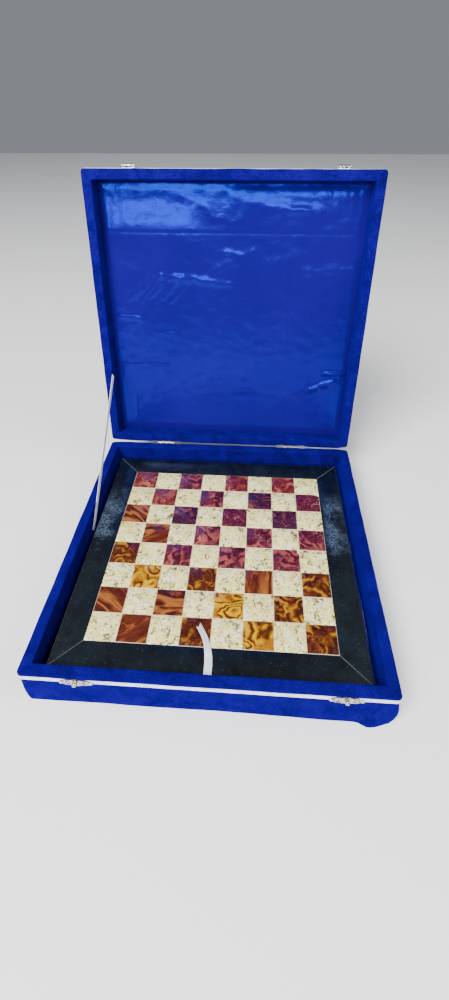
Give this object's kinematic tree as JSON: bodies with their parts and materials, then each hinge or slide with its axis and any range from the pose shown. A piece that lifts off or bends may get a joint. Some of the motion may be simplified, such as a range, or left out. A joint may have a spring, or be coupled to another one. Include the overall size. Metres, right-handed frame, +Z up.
{
  "type": "marble chess board in case",
  "caption": "Inlaid marble chess board in a velvet presentation case with hinged satin-lined lid, ribbon stay and hasp latches.",
  "frame": {"origin": "centre of the tray's underside, on the surface that the case stands on", "axes": "+X to the right as the user faces the open case, +Y back towards the hinges, +Z up"},
  "size_m": [0.343, 0.4384, 0.3903],
  "materials": {
    "blue_velvet": "short-pile velvet",
    "blue_cotton": "plain woven cotton",
    "blue_satin": "glossy satin",
    "white_ribbon": "satin ribbon",
    "foam": "open-cell foam",
    "green_felt": "wool felt",
    "grey_card": "uncoated board",
    "fibreboard": "raw fibreboard",
    "nickel_nails": "nickel plated",
    "nickel_latch": "nickel plated pressed steel",
    "steel_hinge": "plain steel",
    "fossil_limestone": "polished",
    "red_onyx": "polished",
    "black_marble": "polished",
    "marble_backing": "sawn"
  },
  "bodies": {
    "tray": {"tray_bottom_panel": "fibreboard", "tray_front_wall": "fibreboard", "tray_back_wall": "fibreboard", "tray_left_wall": "fibreboard", "tray_right_wall": "fibreboard", "tray_velvet": "blue_velvet", "tray_base_cloth": "blue_cotton", "tray_floor_lining": "blue_cotton", "tray_trim_ribbon": "white_ribbon", "pad_foam": "foam", "pad_cover": "blue_cotton", "left_catch_plate": "nickel_latch", "right_catch_plate": "nickel_latch", "left_catch_knob": "nickel_latch", "right_catch_knob": "nickel_latch", "catch_nails": "nickel_nails", "left_hinge_tray_leaf": "steel_hinge", "right_hinge_tray_leaf": "steel_hinge", "left_hinge_pin": "steel_hinge", "right_hinge_pin": "steel_hinge", "tray_hinge_nails": "nickel_nails", "stay_ribbon": "white_ribbon"},
    "lid": {"lid_top_panel": "fibreboard", "lid_front_wall": "fibreboard", "lid_back_wall": "fibreboard", "lid_left_wall": "fibreboard", "lid_right_wall": "fibreboard", "lid_velvet": "blue_velvet", "lid_lining_card": "grey_card", "lid_satin_lining": "blue_satin", "lid_trim_ribbon": "white_ribbon", "left_hasp_plate": "nickel_latch", "right_hasp_plate": "nickel_latch", "left_hasp_pin": "nickel_latch", "right_hasp_pin": "nickel_latch", "hasp_nails": "nickel_nails", "left_hinge_lid_leaf": "steel_hinge", "right_hinge_lid_leaf": "steel_hinge", "lid_hinge_nails": "nickel_nails"},
    "left_hasp": {"left_hasp": "nickel_latch"},
    "right_hasp": {"right_hasp": "nickel_latch"},
    "board": {"board_slab": "marble_backing", "light_squares": "fossil_limestone", "dark_squares": "red_onyx", "front_border": "black_marble", "back_border": "black_marble", "left_border": "black_marble", "right_border": "black_marble", "board_felt_pads": "green_felt", "lift_ribbon": "white_ribbon"}
  },
  "joints": [
    {"name": "lid_hinge", "type": "hinge", "parent": "tray", "child": "lid", "pos_m": [0, 0.1731, 0.0483], "axis": [1, 0, 0], "range_deg": [0, 100.6], "deforming": ["stay_ribbon"]},
    {"name": "left_hasp_hinge", "type": "hinge", "parent": "lid", "child": "left_hasp", "pos_m": [-0.1165, 0.23938, 0.38887], "axis": [1, 0, 0], "range_deg": [0, 180]},
    {"name": "right_hasp_hinge", "type": "hinge", "parent": "lid", "child": "right_hasp", "pos_m": [0.1238, 0.23938, 0.38887], "axis": [1, 0, 0], "range_deg": [0, 180]},
    {"name": "board_lift", "type": "slide", "parent": "tray", "child": "board", "axis": [0, 0, -1], "range_m": [-0.0276, 0]}
  ]
}
